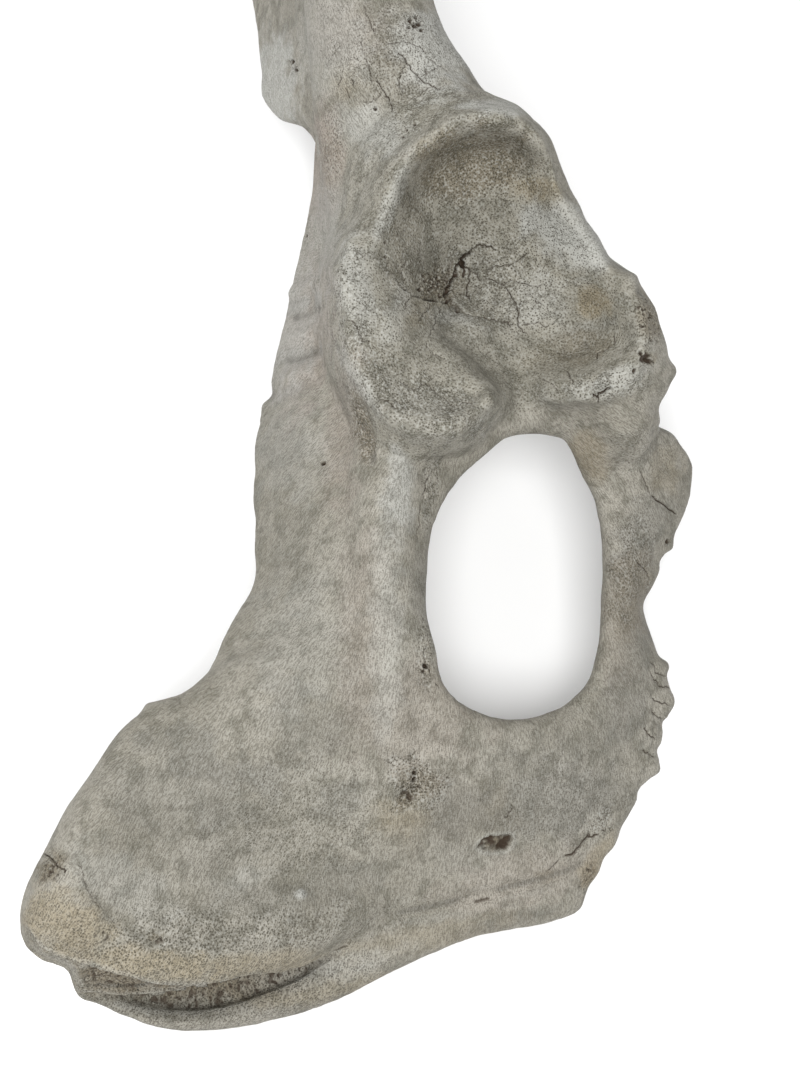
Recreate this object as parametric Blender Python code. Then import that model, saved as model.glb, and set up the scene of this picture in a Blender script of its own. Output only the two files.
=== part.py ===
"""A cow's right hip bone, life size, lying on its inner side on a flat floor.

Places are first given in millimetres as a viewer sees the bone: right, up and towards the viewer,
from a reference plane that the sight lines cross at true scale. The finished bone is then turned to
lie on the floor as it would rest: on the sacral corner of its wing, the rear end of the symphysis
and the edge of the ischial arch.
"""

import math

import bpy
import bmesh
import numpy as np
from mathutils import Vector

# Driving dimensions, in millimetres
VIEW_DISTANCE = 494.0
# How the raw surface is finished: rounds of smoothing of the wall's facing, and the final skin's
# grid step, smoothing and size
FACING_ROUNDS = 12
SURFACE_STEP = 1.7
SURFACE_SMOOTHING = 9
FINISHED_TRIANGLES = 11400

# The opening between pubis and ischium: its edge from its front end, anticlockwise, right and up.
# It lies in a plane that falls away towards the midline and towards the head
FORAMEN_EDGE = [
    (33.0, 23.6),
    (24.0, 21.5),
    (14.0, 13.0),
    (8.4, 3.0),
    (6.4, -10.0),
    (7.0, -22.5),
    (9.6, -34.0),
    (16.0, -41.6),
    (28.0, -44.8),
    (40.0, -41.8),
    (47.4, -34.0),
    (50.2, -21.0),
    (50.3, -3.0),
    (46.3, 12.5),
    (40.5, 21.0),
]
FORAMEN_CENTRE = (28.0, -10.0)
FORAMEN_DEPTH = 9.0
FORAMEN_FALL_TO_MIDLINE = 0.65
FORAMEN_FALL_TO_HEAD = 0.17
FORAMEN_EDGE_THICKNESS = 8.5
# How far the wall sags from a straight line where it is 100 mm wide, in full from this far behind
# the opening's middle
WALL_SAG = 4.0
WALL_SAG_FROM = 40.0

# The outline of the wall round that opening, anticlockwise from the symphysis:
# right, up, towards the viewer, thickness at the edge, thickness half way to the opening
WALL_EDGE = [
    (61.3, -9.5, -22, 8, 9),
    (65.4, -0.5, -28, 9, 11),
    (69.2, 9.6, -34, 10, 12),
    (69.2, 16.8, -34, 10, 13),
    (65.8, 23.4, -28, 11, 14),
    (60.4, 27.6, -20, 11, 15),
    (61.6, 33.6, -15, 12, 18),
    (64.2, 40.5, -10, 16, 21),
    (62.5, 51.0, -3, 22, 28),
    (58.2, 61.0, -3, 22, 30),
    (48.8, 64.6, -8, 19, 32),
    (41.4, 79.4, -8, 20, 34),
    (36.8, 91.8, -6, 24, 34),
    (31.0, 101.0, -6, 28, 34),
    (20.5, 107.0, -8, 29, 34),
    (9.0, 114.0, -14, 29, 34),
    (-6.0, 112.0, -22, 26, 32),
    (-16.0, 100.0, -38, 16, 30),
    (-18.8, 92.5, -46, 11, 28),
    (-20.0, 83.0, -46, 9, 26),
    (-22.8, 71.5, -43, 8, 25),
    (-28.0, 51.0, -37, 7, 25),
    (-32.5, 32.0, -25, 7, 25),
    (-35.6, 15.5, -12, 8, 24),
    (-35.0, 0.5, -1, 9, 22),
    (-35.5, -11.5, 7, 9, 19),
    (-39.4, -22.0, 14, 9, 17),
    (-44.8, -31.6, 20, 9, 15),
    (-51.4, -40.6, 24, 9, 15),
    (-60.0, -44.4, 28, 11, 16),
    (-71.8, -54.8, 34, 18, 17),
    (-85.5, -75.0, 41, 26, 22),
    (-93.2, -94.0, 43, 29, 23),
    (-86.5, -104.5, 38, 29, 23),
    (-77.5, -112.5, 31, 27, 22),
    (-56.0, -120.0, 22, 23, 21),
    (-26.5, -116.0, 13, 20, 18),
    (-7.5, -107.6, 8, 17, 16),
    (14.5, -98.6, 2, 14, 14),
    (38.5, -93.8, -5, 12, 12),
    (43.8, -89.0, -8, 13, 12),
    (47.2, -79.8, -10, 13, 12),
    (59.9, -57.0, -16, 13, 12),
    (63.0, -42.0, -20, 14, 12),
    (61.2, -32.0, -21, 11, 11),
    (58.2, -21.0, -22, 8, 10),
]

# The crest of the socket's lip, anticlockwise from the end of its rear horn: right, up, towards the viewer
SOCKET_LIP = [
    (29.6, 35.8, 12),
    (37.5, 32.2, 13),
    (46.5, 32.4, 15),
    (58.0, 38.4, 15),
    (61.6, 49.0, 13),
    (57.4, 60.0, 11),
    (48.0, 70.5, 8),
    (39.4, 82.5, 14),
    (35.0, 95.0, 17),
    (26.5, 103.0, 21),
    (14.5, 102.0, 24),
    (4.4, 93.0, 26),
    (-2.4, 80.5, 28),
    (-12.5, 71.5, 28),
    (-16.0, 59.5, 31),
    (-12.4, 43.0, 33),
    (-4.0, 29.0, 34),
    (7.3, 21.8, 34),
    (17.0, 25.5, 33),
    (23.3, 31.6, 31),
]
SOCKET_CENTRE = (26.0, 63.5)
SOCKET_FLOOR_CENTRE = (17.0, 62.0)
SOCKET_FLOOR = -7.0
SOCKET_BASE = -14.0
# How far out from the socket's centre, and how far down from its lip to its floor, as shares
SOCKET_OUTSIDE = [(0.9, 0.0), (0.96, 0.0), (1.0, 0.08), (1.02, 0.3), (1.04, 0.6), (1.06, 1.0)]
SOCKET_HOLLOW = [(1.05, -0.9), (0.93, -0.05), (0.85, 0.08), (0.76, 0.27), (0.64, 0.5),
                 (0.5, 0.73), (0.34, 0.9), (0.17, 0.98), (0.02, 1.0)]

# Rods, as true places: right, up, towards the viewer, half width, half depth
ILIAC_SHAFT = [
    (6, 87, -16, 25, 18),
    (-1, 108, -19, 21.5, 20),
    (-6.7, 127, -24, 17.5, 20),
    (-10.5, 147, -29, 15.5, 20),
    (-17, 172, -32, 13.5, 19),
    (-31, 207, -28, 10.5, 17),
    (-52, 249, -19, 9, 14),
    (-75, 289, -13, 9, 15),
    (-90, 313, -14, 12, 22),
    (-99, 327, -18, 14.5, 30),
    (-105, 336, -20, 12, 27),
    (-109, 342, -21, 3, 9),
]
SACRAL_TUBER = [
    (-48, 180, -126, 1, 2),
    (-56, 208, -146, 5, 8),
    (-63, 230, -161, 9, 14),
    (-68, 246, -169, 10, 19),
    (-71, 255, -173, 8, 16),
    (-73, 260, -176, 2, 6),
]
ISCHIAL_COLUMN = [
    (4, 42, -4, 6, 6),
    (0, 27, 8, 9.5, 11),
    (-3.5, 8, 15, 10, 12.5),
    (-4.5, -12, 19, 10.5, 13),
    (-4.5, -32, 22, 12, 11),
    (-6, -52, 21, 14, 9),
    (-8, -71, 18, 11, 6),
]
SEAT_LIP = [
    (-76, -82, 42, 7, 9),
    (-68, -88, 42, 10, 9),
    (-52, -91, 39, 11, 9),
    (-34, -90, 32, 10, 9),
    (-17, -87, 24, 8, 8),
    (-2, -82, 14, 5, 5),
]
SEAT_TROUGH = [
    (-74, -104, 38, 1.5, 3),
    (-57, -106.5, 34, 4, 5.5),
    (-39, -105.5, 30, 4, 5.5),
    (-22, -101.5, 25, 2.5, 4),
    (-9, -96, 20, 1, 2),
]
SOCKET_NOTCH = [
    (17, 61, -6, 8, 5),
    (22.5, 53, -5, 8, 5.5),
    (26, 44, -1, 6, 6),
    (27.8, 35.5, 8, 3.6, 8),
    (27.6, 26, 20, 3.4, 10),
]

# The wing of the ilium, from the shaft to its crest, as true places. Each row is the outer border, then
# the sacral border, then the thickness at the outer border, half way and at the sacral border
ILIAC_WING = [
    ((6, 96, -16), (-17, 102, -56), (24, 22, 12)),
    ((-3, 122, -20), (-32, 116, -84), (24, 18, 8)),
    ((-8, 142, -23), (-37.5, 129, -96), (23, 16, 8)),
    ((-12, 160, -25), (-40, 150, -107), (20, 14, 8)),
    ((-25, 196, -24), (-47, 180, -134), (16, 10, 9)),
    ((-48, 242, -18), (-57, 210, -156), (14, 8, 11)),
    ((-74, 286, -12), (-62, 229, -170), (14, 10, 14)),
    ((-88, 309, -12), (-65, 240, -177), (17, 16, 17)),
    ((-98, 326, -13), (-68, 251, -182), (14, 12, 13)),
]
WING_CREST_DIP = 24.0
WING_HOLLOW = 12.0

# What the bone rests on, as true places: the sacral tuber, the rear end of the symphysis and the
# edge of the ischial arch
REST_ON = [(-66, 239, -185), (39, -92, -8), (-24, -107, 6)]
RESTING_REACH = 26.0
RESTING_ROUNDS = 4

# Where a plate's section has its points: shares of the way across, and turns round each edge
PLATE_SHARES = (0.0, 0.2, 0.4, 0.6, 0.8, 1.0)
EDGE_TURNS = np.radians([60, 30, 0, -30, -60])

BONE_COLOUR = (0.50, 0.48, 0.43, 1.0)
BONE_ROUGHNESS = 0.75


def seen_at(right, up, depth):
    """The true place of a point seen at that place on the reference plane, at that depth."""
    nearness = (VIEW_DISTANCE - depth) / VIEW_DISTANCE
    return np.array([right * nearness, up * nearness, depth])


def smooth_through(rows, count, closed=False):
    """Rows read at even steps along a smooth curve through the given rows."""
    rows = np.array(rows, float)
    if closed:
        rows = np.vstack([rows[-1:], rows, rows[:2]])
    else:
        rows = np.vstack([2 * rows[0] - rows[1], rows, 2 * rows[-1] - rows[-2]])
    gaps = np.linalg.norm(np.diff(rows[:, :3], axis=0), axis=1)
    knots = np.concatenate([[0.0], np.cumsum(gaps)])
    slopes = np.zeros_like(rows)
    slopes[1:-1] = (rows[2:] - rows[:-2]) / (knots[2:] - knots[:-2])[:, None]
    places = np.linspace(knots[1], knots[-2], count, endpoint=not closed)
    left = np.clip(np.searchsorted(knots, places, side="right") - 1, 1, len(rows) - 3)
    span = knots[left + 1] - knots[left]
    t = ((places - knots[left]) / span)[:, None]
    span = span[:, None]
    return (
        (2 * t**3 - 3 * t**2 + 1) * rows[left]
        + (t**3 - 2 * t**2 + t) * span * slopes[left]
        + (3 * t**2 - 2 * t**3) * rows[left + 1]
        + (t**3 - t**2) * span * slopes[left + 1]
    )


def unit(vectors):
    return vectors / np.linalg.norm(vectors, axis=-1, keepdims=True)


def mesh_object(name, rings, closed=False):
    """A closed skin over rings of points. An open row of rings gets a cap at each end."""
    shape = bmesh.new()
    loops = [[shape.verts.new(Vector(point)) for point in ring] for ring in rings]
    count = len(loops[0])
    pairs = list(zip(loops, loops[1:] + loops[:1]))
    for first, second in pairs if closed else pairs[:-1]:
        for i in range(count):
            j = (i + 1) % count
            shape.faces.new((first[i], first[j], second[j], second[i]))
    if not closed:
        shape.faces.new(loops[0][::-1])
        shape.faces.new(loops[-1])
    bmesh.ops.recalc_face_normals(shape, faces=shape.faces)
    if shape.calc_volume(signed=True) < 0:
        bmesh.ops.reverse_faces(shape, faces=shape.faces)
    mesh = bpy.data.meshes.new(name)
    shape.to_mesh(mesh)
    shape.free()
    piece = bpy.data.objects.new(name, mesh)
    bpy.context.scene.collection.objects.link(piece)
    return piece


def plate_section(inner, outer, facing, thickness, crown):
    """One cut through a plate: round at both edges, with its thickness set at edge, middle and edge."""
    near, middle, far = thickness
    along = unit(outer - inner)
    start = inner + along * near / 2
    end = outer - along * far / 2
    front, back = [], []
    for share in PLATE_SHARES:
        swell = 4 * share * (1 - share)
        half = (near * (1 - share) + far * share) / 2 * (1 - swell) + middle / 2 * swell
        spine = start + (end - start) * share + facing * crown * swell
        front.append(spine + facing * half)
        back.append(spine - facing * half)
    round_out = [
        end + (along * math.cos(turn) + facing * math.sin(turn)) * far / 2
        for turn in EDGE_TURNS
    ]
    round_in = [
        start - (along * math.cos(turn) + facing * math.sin(turn)) * near / 2
        for turn in EDGE_TURNS
    ]
    return front + round_out + back[::-1] + round_in


def rod(name, rows, count=28, sides=20):
    """A rod whose oval sections lie across its course."""
    rows = smooth_through(rows, count)
    course = unit(np.gradient(rows[:, :3], axis=0))
    rings = []
    for row, ahead in zip(rows, course):
        across = unit(np.cross(ahead, (0, 0, 1)))
        towards = np.cross(across, ahead)
        angles = np.linspace(0, 2 * math.pi, sides, endpoint=False)
        rings.append([
            row[:3] + across * row[3] * math.cos(a) + towards * row[4] * math.sin(a)
            for a in angles
        ])
    return mesh_object(name, rings)


def foramen_edge(angles):
    """The places on the opening's edge in those directions from its centre."""
    edge = smooth_through(np.array(FORAMEN_EDGE) - FORAMEN_CENTRE, 120, closed=True)
    ways = np.arctan2(edge[:, 1], edge[:, 0])
    reach = np.interp(angles, ways, np.hypot(edge[:, 0], edge[:, 1]), period=2 * math.pi)
    across, up = reach * np.cos(angles), reach * np.sin(angles)
    depth = FORAMEN_DEPTH - FORAMEN_FALL_TO_MIDLINE * across - FORAMEN_FALL_TO_HEAD * up
    return np.array([
        seen_at(FORAMEN_CENTRE[0] + x, FORAMEN_CENTRE[1] + y, z)
        for x, y, z in zip(across, up, depth)
    ])


def pelvic_wall(stations=170):
    """The wall round the opening: pubis, ischium, ischial spine and the socket's backing."""
    rows = smooth_through(WALL_EDGE, stations, closed=True)
    outer = np.array([seen_at(*row[:3]) for row in rows])
    angles = np.arctan2(rows[:, 1] - FORAMEN_CENTRE[1], rows[:, 0] - FORAMEN_CENTRE[0])
    inner = foramen_edge(angles)
    middle = (inner + outer) / 2
    course = np.roll(middle, -1, axis=0) - np.roll(middle, 1, axis=0)
    facing = unit(np.cross(outer - inner, course))
    for _ in range(FACING_ROUNDS):
        facing = unit(np.roll(facing, 1, axis=0) + facing * 2 + np.roll(facing, -1, axis=0))
    behind = np.clip((FORAMEN_CENTRE[1] - rows[:, 1]) / WALL_SAG_FROM, 0, 1)
    sag = WALL_SAG * behind * (np.linalg.norm(outer - inner, axis=1) / 100) ** 2
    rings = [
        plate_section(a, b, face, (FORAMEN_EDGE_THICKNESS, row[4], row[3]), -fall)
        for a, b, face, row, fall in zip(inner, outer, facing, rows, sag)
    ]
    return mesh_object("hip_bone", rings, closed=True)


def lip_rings(profile, floor):
    """The socket's lip drawn in towards its centre and down towards its floor, by shares."""
    lip = smooth_through(SOCKET_LIP, 72, closed=True)
    rings = []
    for share, fall in profile:
        sinking = min(max(fall, 0), 1) * (share < 1)
        centre = np.array(SOCKET_CENTRE) * (1 - sinking) + np.array(SOCKET_FLOOR_CENTRE) * sinking
        flat = centre + (lip[:, :2] - SOCKET_CENTRE) * share
        depth = lip[:, 2] + (floor - lip[:, 2]) * fall
        rings.append([seen_at(*spot, level) for spot, level in zip(flat, depth)])
    return rings


def socket_body():
    """The raised body of the socket, from the wall up to its rounded lip."""
    return mesh_object("socket_body", lip_rings(SOCKET_OUTSIDE, SOCKET_BASE))


def socket_hollow():
    """What is cut out of the body to leave the cup for the thigh bone's head."""
    return mesh_object("socket_hollow", lip_rings(SOCKET_HOLLOW, SOCKET_FLOOR))


def iliac_wing(stations=40):
    """The fan-shaped wing, hollow on its outer side, with its crest dipping between two tubers."""
    outer = smooth_through([row[0] for row in ILIAC_WING], stations)
    sacral = smooth_through([row[1] for row in ILIAC_WING], stations)
    places = np.linspace(0, len(ILIAC_WING) - 1, stations)
    thickness = np.array([
        np.interp(places, range(len(ILIAC_WING)), [row[2][i] for row in ILIAC_WING])
        for i in range(3)
    ]).T
    course = np.gradient((outer + sacral) / 2, axis=0)
    facing = unit(np.cross(sacral - outer, course))
    rings = []
    for i in range(stations):
        share = i / (stations - 1)
        section = plate_section(
            outer[i], sacral[i], facing[i], tuple(thickness[i]), WING_HOLLOW * share**0.7
        )
        drawn_back = unit(course[i]) * WING_CREST_DIP * share**2
        span = sacral[i] - outer[i]
        ring = []
        for point in section:
            across = np.clip(np.dot(point - outer[i], span) / np.dot(span, span), 0, 1)
            ring.append(point - drawn_back * 4 * across * (1 - across))
        rings.append(ring)
    return mesh_object("iliac_wing", rings)


def helper_collection(name, pieces):
    """Keeps pieces as hidden helpers that a Boolean reads."""
    group = bpy.data.collections.new(name)
    for piece in pieces:
        bpy.context.scene.collection.objects.unlink(piece)
        group.objects.link(piece)
    return group


def join_and_cut(bone, solids, cutters):
    """One Boolean union of the solids, one difference of the cutters, then one smooth skin."""
    for name, pieces, operation in (("solids", solids, "UNION"), ("cutters", cutters, "DIFFERENCE")):
        group = helper_collection(name, pieces)
        boolean = bone.modifiers.new(name, "BOOLEAN")
        boolean.operand_type = "COLLECTION"
        boolean.collection = group
        boolean.operation = operation
        boolean.solver = "EXACT"
    skin = bone.modifiers.new("skin", "REMESH")
    skin.mode = "VOXEL"
    skin.voxel_size = SURFACE_STEP
    soften = bone.modifiers.new("soften", "SMOOTH")
    soften.factor = 0.5
    soften.iterations = SURFACE_SMOOTHING
    triangles = bone.modifiers.new("triangles", "TRIANGULATE")
    triangles.min_vertices = 4


def keep_largest_surface(bone):
    """Drops loose scraps and sealed hollows."""
    shape = bmesh.new()
    shape.from_mesh(bone.data)
    left = set(shape.verts)
    groups = []
    while left:
        reached = [left.pop()]
        for vertex in reached:
            beside = {edge.other_vert(vertex) for edge in vertex.link_edges} & left
            left -= beside
            reached.extend(beside)
        groups.append(reached)
    groups.sort(key=len)
    loose = [vertex for group in groups[:-1] for vertex in group]
    bmesh.ops.delete(shape, geom=loose, context="VERTS")
    shape.to_mesh(bone.data)
    shape.free()


def apply_modifiers(bone):
    """Turns what the modifiers make into the object's own mesh."""
    graph = bpy.context.evaluated_depsgraph_get()
    made = bpy.data.meshes.new_from_object(bone.evaluated_get(graph))
    bone.modifiers.clear()
    bone.data = made


def thin_out(bone):
    """Fewer triangles, most of them where the surface bends."""
    have = len(bone.data.polygons)
    fewer = bone.modifiers.new("fewer", "DECIMATE")
    fewer.ratio = FINISHED_TRIANGLES / have
    apply_modifiers(bone)


def resting_turn(points):
    """The turn that lays the bone level on its lowest point near each resting place, with its length along Y."""
    places = np.array(REST_ON, float)
    for _ in range(RESTING_ROUNDS):
        sacral, symphysis, arch = places
        upright = unit(np.cross(symphysis - arch, sacral - arch))
        near = [
            points[np.linalg.norm(points - place, axis=1) < RESTING_REACH] for place in REST_ON
        ]
        places = np.array([spots[np.argmin(spots @ upright)] for spots in near])
    ahead = unit(np.array([0, 1, 0]) - upright * upright[1])
    aside = np.cross(ahead, upright)
    return np.array([aside, ahead, upright])


def place_on_floor(bone):
    """Turns the bone to rest, sets its lowest point on the floor and centres it."""
    points = np.array([vertex.co for vertex in bone.data.vertices])
    turn = resting_turn(points)
    points = points @ turn.T
    low, high = points.min(axis=0), points.max(axis=0)
    shift = np.array([(low[0] + high[0]) / 2, (low[1] + high[1]) / 2, low[2]])
    bone.data.vertices.foreach_set("co", ((points - shift) / 1000).ravel())
    bone.data.update()


def bone_material():
    material = bpy.data.materials.new("weathered_bone")
    material.use_nodes = True
    surface = material.node_tree.nodes["Principled BSDF"]
    surface.inputs["Base Color"].default_value = BONE_COLOUR
    surface.inputs["Roughness"].default_value = BONE_ROUGHNESS
    surface.inputs["Metallic"].default_value = 0.0
    return material


def main():
    for leftover in list(bpy.data.objects):
        bpy.data.objects.remove(leftover)
    bone = pelvic_wall()
    solids = [
        socket_body(),
        rod("iliac_shaft", ILIAC_SHAFT, count=60),
        rod("ischial_column", ISCHIAL_COLUMN),
        rod("seat_lip", SEAT_LIP),
        iliac_wing(),
        rod("sacral_tuber", SACRAL_TUBER),
    ]
    cutters = [
        socket_hollow(),
        rod("socket_notch", SOCKET_NOTCH),
        rod("seat_trough", SEAT_TROUGH),
    ]
    join_and_cut(bone, solids, cutters)
    apply_modifiers(bone)
    for helper in solids + cutters:
        bpy.data.objects.remove(helper)
    keep_largest_surface(bone)
    thin_out(bone)
    place_on_floor(bone)
    bone.data.materials.clear()
    bone.data.materials.append(bone_material())
    bone.data.shade_smooth()


if __name__ == "__main__":
    main()
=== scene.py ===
"""A cow's hip bone on a pale floor: weathered, cracked bone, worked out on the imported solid."""

import math

import bmesh
import bpy
import numpy as np
from mathutils import Matrix, Vector


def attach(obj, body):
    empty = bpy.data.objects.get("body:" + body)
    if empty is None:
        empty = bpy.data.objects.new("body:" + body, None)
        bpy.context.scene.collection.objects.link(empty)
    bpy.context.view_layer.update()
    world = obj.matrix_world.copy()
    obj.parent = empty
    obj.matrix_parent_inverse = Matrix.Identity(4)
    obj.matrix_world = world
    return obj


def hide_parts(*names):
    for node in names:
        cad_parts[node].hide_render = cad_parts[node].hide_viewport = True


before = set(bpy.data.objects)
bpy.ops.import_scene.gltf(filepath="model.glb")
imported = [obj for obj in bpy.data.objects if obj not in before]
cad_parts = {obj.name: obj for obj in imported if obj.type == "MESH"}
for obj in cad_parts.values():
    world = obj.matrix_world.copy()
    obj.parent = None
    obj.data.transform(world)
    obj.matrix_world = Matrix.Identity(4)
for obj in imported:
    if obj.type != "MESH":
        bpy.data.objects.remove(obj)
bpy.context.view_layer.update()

# How a viewer sees the bone: millimetres right, up and towards the viewer, the viewer's distance, and how
# that frame lies in the world
VIEW_DISTANCE = 494.0
VIEW_TURN = np.array([[0.995517, 0.0, -0.094578],
                      [-0.046532, 0.870599, -0.489788],
                      [0.08234, 0.491994, 0.866696]])
VIEW_SHIFT = np.array([-17.511, 103.672, -49.098])
# The picture's middle, scale and height, in its own points
PICTURE_MIDDLE = (400.0, 533.0)
PICTURE_SCALE = 2034.0
PICTURE_HEIGHT = 1066.0

# Corners this close are welded, and the voxels of the bone's form and of its skin, in metres
WELD_DISTANCE = 1e-6
FORM_STEP = 0.0012
SKIN_STEP = 0.0008

MM = 1000.0
FAR = 1e9
SMALL = 1e-6
TINY = 1e-9


def to_view(points):
    """World metres to view millimetres."""
    return (points * MM + VIEW_SHIFT) @ VIEW_TURN


def to_world(points):
    """View millimetres to world metres."""
    return (points @ VIEW_TURN.T - VIEW_SHIFT) / MM


def in_picture(view):
    """Where view points fall in the picture."""
    scale = PICTURE_SCALE / (VIEW_DISTANCE - view[:, 2])
    across = PICTURE_MIDDLE[0] + view[:, 0] * scale
    down = PICTURE_MIDDLE[1] - view[:, 1] * scale
    return np.stack([across, down], axis=1)


def at_depth(places, depth):
    """View points seen at these places of the picture, at that depth."""
    scale = (VIEW_DISTANCE - depth) / PICTURE_SCALE
    right = (places[:, 0] - PICTURE_MIDDLE[0]) * scale
    up = (PICTURE_MIDDLE[1] - places[:, 1]) * scale
    return np.stack([right, up, depth], axis=1)


# Meshes as arrays

def mesh_object(name, points, faces):
    mesh = bpy.data.meshes.new(name)
    mesh.from_pydata(points, [], faces)
    mesh.update()
    made = bpy.data.objects.new(name, mesh)
    bpy.context.scene.collection.objects.link(made)
    return made


def welded_copy(name, source):
    """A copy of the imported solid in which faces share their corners."""
    weld = bmesh.new()
    weld.from_mesh(source.data)
    bmesh.ops.remove_doubles(weld, verts=weld.verts, dist=WELD_DISTANCE)
    mesh = bpy.data.meshes.new(name + "_form")
    weld.to_mesh(mesh)
    weld.free()
    made = bpy.data.objects.new(name, mesh)
    bpy.context.scene.collection.objects.link(made)
    return made


def points_of(mesh):
    found = np.empty(len(mesh.vertices) * 3, np.float32)
    mesh.vertices.foreach_get("co", found)
    return found.reshape(-1, 3).astype(float)


def set_points(mesh, points):
    mesh.vertices.foreach_set("co", points.astype(np.float32).ravel())
    mesh.update()


def normals_of(mesh):
    found = np.empty(len(mesh.vertices) * 3, np.float32)
    mesh.vertex_normals.foreach_get("vector", found)
    return found.reshape(-1, 3).astype(float)


def smoothed(mesh, values, rounds):
    """The values, drawn half way to the mean of their neighbours along the edges, that many times."""
    edges = np.empty(len(mesh.edges) * 2, np.int32)
    mesh.edges.foreach_get("vertices", edges)
    a, b = edges.reshape(-1, 2).T
    size = len(values)
    count = np.bincount(edges, minlength=size).clip(1)
    for _ in range(rounds):
        total = np.bincount(a, values[b], size) + np.bincount(b, values[a], size)
        values = values + 0.5 * (total / count - values)
    return values


def finished(obj, modifiers):
    """Applies modifiers to the object's mesh: (kind, settings) pairs."""
    for kind, settings in modifiers:
        modifier = obj.modifiers.new(kind.lower(), kind)
        for key, value in settings.items():
            setattr(modifier, key, value)
    graph = bpy.context.evaluated_depsgraph_get()
    mesh = bpy.data.meshes.new_from_object(obj.evaluated_get(graph))
    old = obj.data
    obj.modifiers.clear()
    obj.data = mesh
    bpy.data.meshes.remove(old)


# Noise

GRADIENTS = np.array([
    (1, 1, 0), (-1, 1, 0), (1, -1, 0), (-1, -1, 0), (1, 0, 1), (-1, 0, 1), (1, 0, -1), (-1, 0, -1),
    (0, 1, 1), (0, -1, 1), (0, 1, -1), (0, -1, -1), (1, 1, 0), (-1, 1, 0), (0, -1, 1), (0, -1, -1),
], float)
# Large odd numbers that mix a cell's place and the seed into one number, and the bits that it keeps
MIX_PLACE = (374761393, 668265263, 1440662683)
MIX_SEED = 974634777
MIX_AGAIN = 1274126177
BITS = 0xFFFFFFFF
SEED_SHIFT = 17.31
NOISE_GAIN = 1.2


def noise(points, size, seed):
    """Smooth gradient noise from about -1 to 1, with lumps of that size in millimetres."""
    p = points / size + seed * SEED_SHIFT
    base = np.floor(p)
    part = p - base
    base = base.astype(np.int64)
    ease = part * part * part * (part * (part * 6 - 15) + 10)
    total = np.zeros(len(p))
    for corner in range(8):
        step = np.array([corner & 1, corner >> 1 & 1, corner >> 2 & 1])
        x, y, z = (base + step).T
        mixed = x * MIX_PLACE[0] + y * MIX_PLACE[1] + z * MIX_PLACE[2] + seed * MIX_SEED & BITS
        mixed = (mixed ^ (mixed >> 13)) * MIX_AGAIN & BITS
        gradient = GRADIENTS[(mixed ^ (mixed >> 16)) & 15]
        weight = np.prod(np.where(step == 1, ease, 1 - ease), axis=1)
        total += weight * np.sum(gradient * (part - step), axis=1)
    return total * NOISE_GAIN


def layered(points, size, seed, layers):
    """Noise of that size with finer layers on it, each half as high and half as large as the last."""
    total = np.zeros(len(points))
    height = 1.0
    for layer in range(layers):
        total += height * noise(points, size / 2 ** layer, seed + layer)
        height /= 2
    return total


def smooth_step(value, low, high):
    """0 up to low, 1 from high on, and a smooth way between."""
    share = np.clip((value - low) / (high - low), 0, 1)
    return share * share * (3 - 2 * share)


def unit(vectors):
    """The vectors at length 1."""
    return vectors / (np.linalg.norm(vectors, axis=1)[:, None] + SMALL)


# Lines and outlines in the picture

# The share of a mark's length over which it fades out at each end
FADE_SHARE = 0.12


def to_line(places, line):
    """Each place's distance to the line, its side (positive right of its run) and its share along."""
    line = np.asarray(line, float)
    best = np.full(len(places), FAR)
    side = np.zeros(len(places))
    along = np.zeros(len(places))
    lengths = np.linalg.norm(np.diff(line, axis=0), axis=1)
    before = np.concatenate([[0], np.cumsum(lengths)])
    for k, (a, b) in enumerate(zip(line[:-1], line[1:])):
        d = b - a
        t = np.clip(((places - a) @ d) / (d @ d), 0, 1)
        off = places - a - t[:, None] * d
        distance = np.linalg.norm(off, axis=1)
        nearer = distance < best
        best[nearer] = distance[nearer]
        side[nearer] = np.sign(d[0] * off[nearer, 1] - d[1] * off[nearer, 0])
        along[nearer] = before[k] + t[nearer] * lengths[k]
    return best, side, along / before[-1]


def curved(line, count=8):
    """A smooth line through these places, with that many steps between two of them."""
    p = np.asarray(line, float)
    if len(p) < 3:
        return p
    ends = np.vstack([2 * p[0] - p[1], p, 2 * p[-1] - p[-2]])
    made = []
    for k in range(1, len(ends) - 2):
        a, b, c, d = ends[k - 1:k + 3]
        for t in np.linspace(0, 1, count, endpoint=False):
            point = 2 * b + (c - a) * t
            point = point + (2 * a - 5 * b + 4 * c - d) * t ** 2
            point = point + (3 * b - a - 3 * c + d) * t ** 3
            made.append(0.5 * point)
    made.append(p[-1])
    return np.array(made)


def inside(places, outline):
    """Signed distance to a closed outline, positive inside."""
    line = np.asarray(outline, float)
    closed = np.vstack([line, line[:1]])
    distance = to_line(places, closed)[0]
    crossed = np.zeros(len(places), bool)
    for a, b in zip(closed[:-1], closed[1:]):
        spans = (a[1] > places[:, 1]) != (b[1] > places[:, 1])
        rise = b[1] - a[1] if b[1] != a[1] else TINY
        crossed ^= spans & (places[:, 0] < (b[0] - a[0]) * (places[:, 1] - a[1]) / rise + a[0])
    return np.where(crossed, distance, -distance)


def close_to(places, line, reach):
    """Which places lie in the line's box, grown by that reach."""
    line = np.asarray(line, float)
    return np.flatnonzero((places > line.min(0) - reach).all(1) & (places < line.max(0) + reach).all(1))


def faded(along):
    """1 along a mark, with a fade at both ends."""
    return smooth_step(along, 0, FADE_SHARE) * smooth_step(1 - along, 0, FADE_SHARE)


# The socket's own form: places in the picture and how near they are to the viewer, in millimetres

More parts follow.
